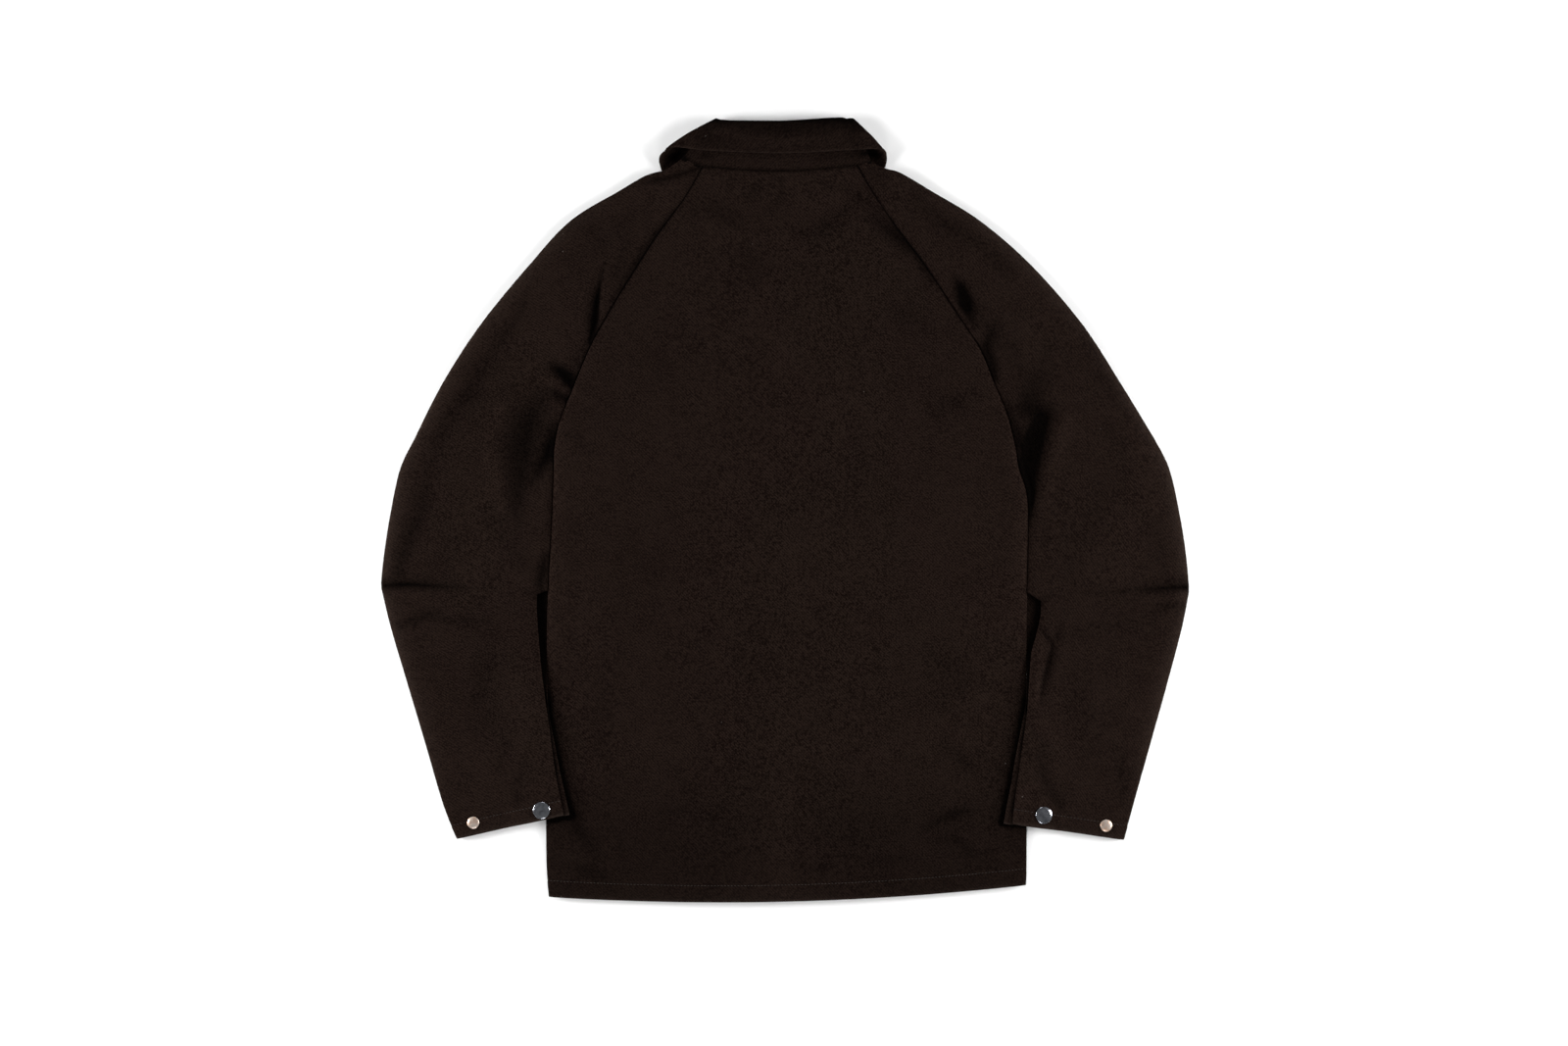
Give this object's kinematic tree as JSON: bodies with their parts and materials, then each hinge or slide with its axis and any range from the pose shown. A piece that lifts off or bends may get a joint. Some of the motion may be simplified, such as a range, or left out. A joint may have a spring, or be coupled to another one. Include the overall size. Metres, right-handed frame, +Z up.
{
  "type": "jacket",
  "caption": "Twill work jacket with raglan sleeves and a turned-down collar, laid flat face down, with snap fastenings.",
  "frame": {"origin": "centre of the jacket's outline, on the surface that it lies on", "axes": "+Z up, away from that surface; +Y towards the collar; +X towards the wearer's right sleeve"},
  "size_m": [0.8246, 0.8006, 0.0135],
  "materials": {
    "twill": "matte warm-black cotton twill",
    "snap_steel": "polished",
    "rivet_copper": "pale copper, satin"
  },
  "bodies": {
    "root": {"back": "twill", "front_left": "twill", "front_right": "twill", "sleeve_back_left": "twill", "sleeve_front_left": "twill", "sleeve_back_right": "twill", "sleeve_front_right": "twill", "collar": "twill", "snap_cuff_left": "snap_steel", "snap_cuff_right": "snap_steel", "rivet_cuff_left": "rivet_copper", "rivet_cuff_right": "rivet_copper", "snap_front_1": "snap_steel", "snap_front_2": "snap_steel", "snap_front_3": "snap_steel", "snap_front_4": "snap_steel", "snap_front_5": "snap_steel"}
  },
  "joints": []
}
